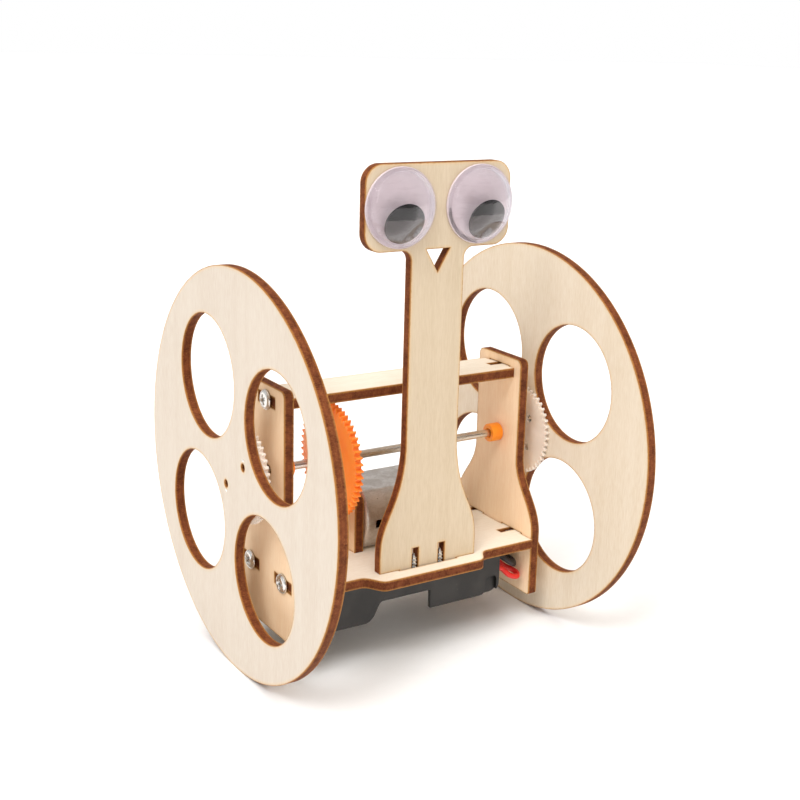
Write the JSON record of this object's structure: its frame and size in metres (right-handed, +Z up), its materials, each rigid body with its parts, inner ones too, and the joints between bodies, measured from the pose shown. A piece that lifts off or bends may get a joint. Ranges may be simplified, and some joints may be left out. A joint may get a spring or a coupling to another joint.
{
  "type": "two wheel balancing robot car",
  "caption": "Battery-driven plywood robot car that balances between two large disc wheels on one axle, with a tall neck, a head plate and googly eyes.",
  "frame": {"origin": "on the floor under the middle of the axle, which is also the middle of the object's footprint", "axes": "+X along the axle from the left wheel to the right wheel, the face looks along -Y, +Z up"},
  "size_m": [0.0854, 0.097, 0.1205],
  "materials": {
    "plywood": "pale basswood plywood, bare and matt, with dark laser-burnt edges",
    "steel": "bright drawn rod",
    "screw_steel": "bright nickel plate",
    "motor_steel": "mottled galvanised sheet",
    "contact_steel": "nickel-plated spring steel",
    "brass": "plain stamped",
    "magnet": "dark sintered ferrite",
    "armature": "laminated steel under enamelled copper wire",
    "orange_plastic": "moulded, slightly glossy",
    "milky_plastic": "moulded, milky and slightly see-through",
    "eye_white": "glossy white",
    "eye_dome": "clear glossy plastic",
    "pupil_black": "black",
    "bell_plastic": "moulded nylon",
    "black_plastic": "moulded, satin black",
    "foam_tape": "white double-sided foam",
    "red_vinyl": "satin wire jacket",
    "black_vinyl": "satin wire jacket"
  },
  "bodies": {
    "frame": {"left_side_plate": "plywood", "right_side_plate": "plywood", "base_plate": "plywood", "top_bar": "plywood", "neck_head_plate": "plywood", "motor_bracket": "plywood", "left_bar_screw": "screw_steel", "right_bar_screw": "screw_steel", "left_base_screw_front": "screw_steel", "left_base_screw_back": "screw_steel", "right_base_screw_front": "screw_steel", "right_base_screw_back": "screw_steel", "left_neck_screw": "screw_steel", "right_neck_screw": "screw_steel", "left_eye_back": "eye_white", "right_eye_back": "eye_white", "left_eye_dome": "eye_dome", "right_eye_dome": "eye_dome", "motor_can": "motor_steel", "motor_end_bell": "bell_plastic", "motor_terminal_front": "brass", "motor_terminal_back": "brass", "motor_magnet_front": "magnet", "motor_magnet_back": "magnet", "motor_brush_front": "brass", "motor_brush_back": "brass", "battery_holder": "black_plastic", "holder_tape": "foam_tape", "bridge_contact": "contact_steel", "positive_contact": "contact_steel", "negative_contact": "contact_steel", "bridge_spring": "contact_steel", "negative_spring": "contact_steel", "red_wire": "red_vinyl", "black_wire": "black_vinyl"},
    "wheelset": {"axle": "steel", "left_wheel": "plywood", "right_wheel": "plywood", "left_hub_gear": "milky_plastic", "right_hub_gear": "milky_plastic", "left_hub_screw_1": "screw_steel", "left_hub_screw_2": "screw_steel", "right_hub_screw_1": "screw_steel", "right_hub_screw_2": "screw_steel", "left_collar": "orange_plastic", "right_collar": "orange_plastic", "drive_gear": "orange_plastic"},
    "motor_rotor": {"motor_shaft": "steel", "motor_armature": "armature", "motor_commutator": "brass", "pinion": "milky_plastic"},
    "left_pupil_disc": {"left_pupil": "pupil_black"},
    "right_pupil_disc": {"right_pupil": "pupil_black"}
  },
  "joints": [
    {"name": "wheel_spin", "type": "hinge", "parent": "frame", "child": "wheelset", "pos_m": [0, 0, 0.0485], "axis": [1, 0, 0], "continuous": true},
    {"name": "motor_spin", "type": "hinge", "parent": "frame", "child": "motor_rotor", "pos_m": [0, 0.00606, 0.03155], "axis": [1, 0, 0], "continuous": true},
    {"name": "left_pupil_roll", "type": "hinge", "parent": "frame", "child": "left_pupil_disc", "pos_m": [-0.0101, -0.018, 0.1108], "axis": [0, -1, 0], "continuous": true},
    {"name": "right_pupil_roll", "type": "hinge", "parent": "frame", "child": "right_pupil_disc", "pos_m": [0.0113, -0.018, 0.1108], "axis": [0, -1, 0], "continuous": true}
  ],
  "couplings": [
    {"joint": "motor_spin", "follows": "wheel_spin", "ratio": -3}
  ]
}
